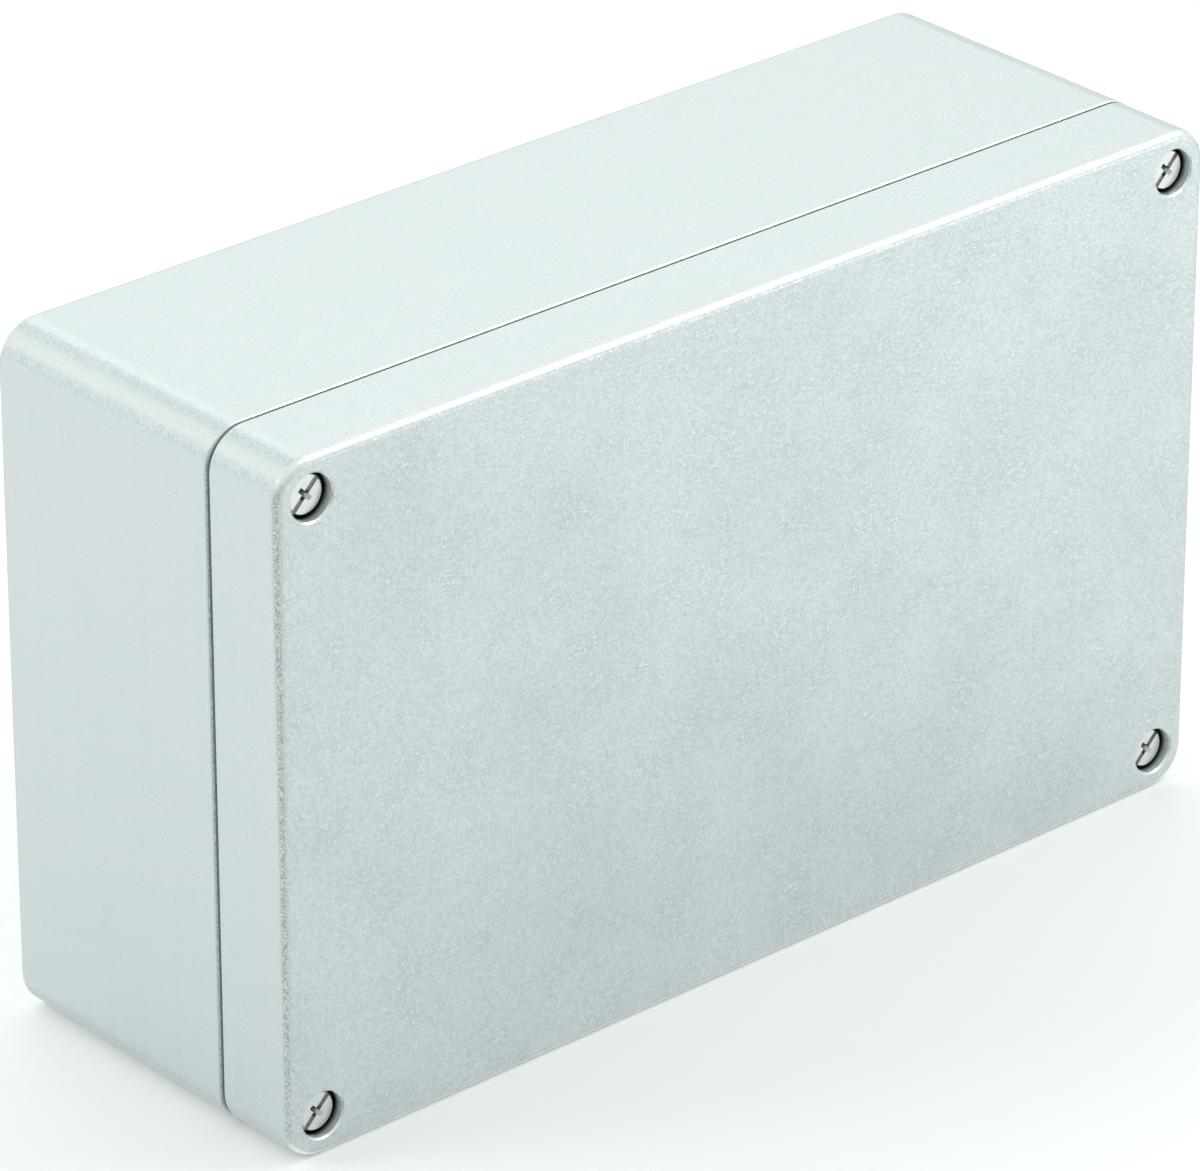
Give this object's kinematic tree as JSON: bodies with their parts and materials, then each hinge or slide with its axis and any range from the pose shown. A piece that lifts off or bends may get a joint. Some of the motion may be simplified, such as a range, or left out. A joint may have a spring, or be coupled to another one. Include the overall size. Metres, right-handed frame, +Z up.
{
  "type": "die cast aluminium enclosure",
  "caption": "Rectangular die cast aluminium enclosure standing on a long side, with a screwed lid, sealed joint and wall mounting holes",
  "frame": {"origin": "centre of the footprint, on the surface that the box stands on", "axes": "+X along the length, +Y from the lid to the back, +Z up across the width"},
  "size_m": [0.26, 0.09, 0.16],
  "materials": {
    "cast_aluminium": "raw die cast aluminium, tumbled matt",
    "black_rubber": "closed-cell sealing rubber",
    "stainless_steel": "bright stainless steel",
    "nylon": "natural nylon",
    "zinc_plated_steel": "zinc plated steel"
  },
  "bodies": {
    "base": {"base": "cast_aluminium", "earth_clamp": "zinc_plated_steel", "earth_spring_washer": "stainless_steel", "earth_screw": "zinc_plated_steel"},
    "lid": {"lid": "cast_aluminium", "lid_gasket": "black_rubber"},
    "screw_1_ring": {"retaining_ring_1": "nylon"},
    "screw_1": {"lid_screw_1": "stainless_steel"},
    "screw_2_ring": {"retaining_ring_2": "nylon"},
    "screw_2": {"lid_screw_2": "stainless_steel"},
    "screw_3_ring": {"retaining_ring_3": "nylon"},
    "screw_3": {"lid_screw_3": "stainless_steel"},
    "screw_4_ring": {"retaining_ring_4": "nylon"},
    "screw_4": {"lid_screw_4": "stainless_steel"}
  },
  "joints": [
    {"name": "lid_lift", "type": "slide", "parent": "base", "child": "lid", "axis": [0, -1, 0], "range_m": [0, 0.1]},
    {"name": "screw_1_travel", "type": "slide", "parent": "lid", "child": "screw_1_ring", "axis": [0, -1, 0], "range_m": [0, 0.009]},
    {"name": "screw_1_turn", "type": "hinge", "parent": "screw_1_ring", "child": "screw_1", "pos_m": [-0.1205, -0.03, 0.1505], "axis": [0, -1, 0], "range_deg": [0, 3240]},
    {"name": "screw_2_travel", "type": "slide", "parent": "lid", "child": "screw_2_ring", "axis": [0, -1, 0], "range_m": [0, 0.009]},
    {"name": "screw_2_turn", "type": "hinge", "parent": "screw_2_ring", "child": "screw_2", "pos_m": [0.1205, -0.03, 0.1505], "axis": [0, -1, 0], "range_deg": [0, 3240]},
    {"name": "screw_3_travel", "type": "slide", "parent": "lid", "child": "screw_3_ring", "axis": [0, -1, 0], "range_m": [0, 0.009]},
    {"name": "screw_3_turn", "type": "hinge", "parent": "screw_3_ring", "child": "screw_3", "pos_m": [-0.1205, -0.03, 0.0095], "axis": [0, -1, 0], "range_deg": [0, 3240]},
    {"name": "screw_4_travel", "type": "slide", "parent": "lid", "child": "screw_4_ring", "axis": [0, -1, 0], "range_m": [0, 0.009]},
    {"name": "screw_4_turn", "type": "hinge", "parent": "screw_4_ring", "child": "screw_4", "pos_m": [0.1205, -0.03, 0.0095], "axis": [0, -1, 0], "range_deg": [0, 3240]}
  ],
  "couplings": [
    {"joint": "screw_1_turn", "follows": "screw_1_travel", "rad_per_m": 6283.2},
    {"joint": "screw_2_turn", "follows": "screw_2_travel", "rad_per_m": 6283.2},
    {"joint": "screw_3_turn", "follows": "screw_3_travel", "rad_per_m": 6283.2},
    {"joint": "screw_4_turn", "follows": "screw_4_travel", "rad_per_m": 6283.2}
  ]
}
